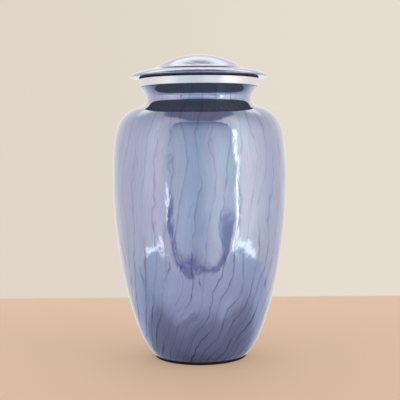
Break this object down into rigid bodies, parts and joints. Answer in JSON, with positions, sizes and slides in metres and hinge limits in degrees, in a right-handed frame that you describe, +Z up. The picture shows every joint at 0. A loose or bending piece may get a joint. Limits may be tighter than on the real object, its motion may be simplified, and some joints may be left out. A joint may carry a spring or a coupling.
{
  "type": "funeral urn",
  "caption": "Cremation urn: a high-shouldered vase in marbled periwinkle lacquer, with a bright mouth ring, a domed lid that lifts off and a felt foot.",
  "frame": {"origin": "the middle of the felt's underside, on the axis that every piece is turned about", "axes": "+Z up along that axis; the urn is round, and the side that the picture shows faces -Y"},
  "size_m": [0.1534, 0.1534, 0.2667],
  "materials": {
    "lacquer": "glossy translucent lacquer over bright metal, marbled with fine dark veins",
    "bright_metal": "turned and left bright",
    "felt": "black pressed felt"
  },
  "bodies": {
    "root": {"urn_body": "lacquer", "mouth_ring": "bright_metal", "lid": "lacquer", "base_pad": "felt"}
  },
  "joints": []
}
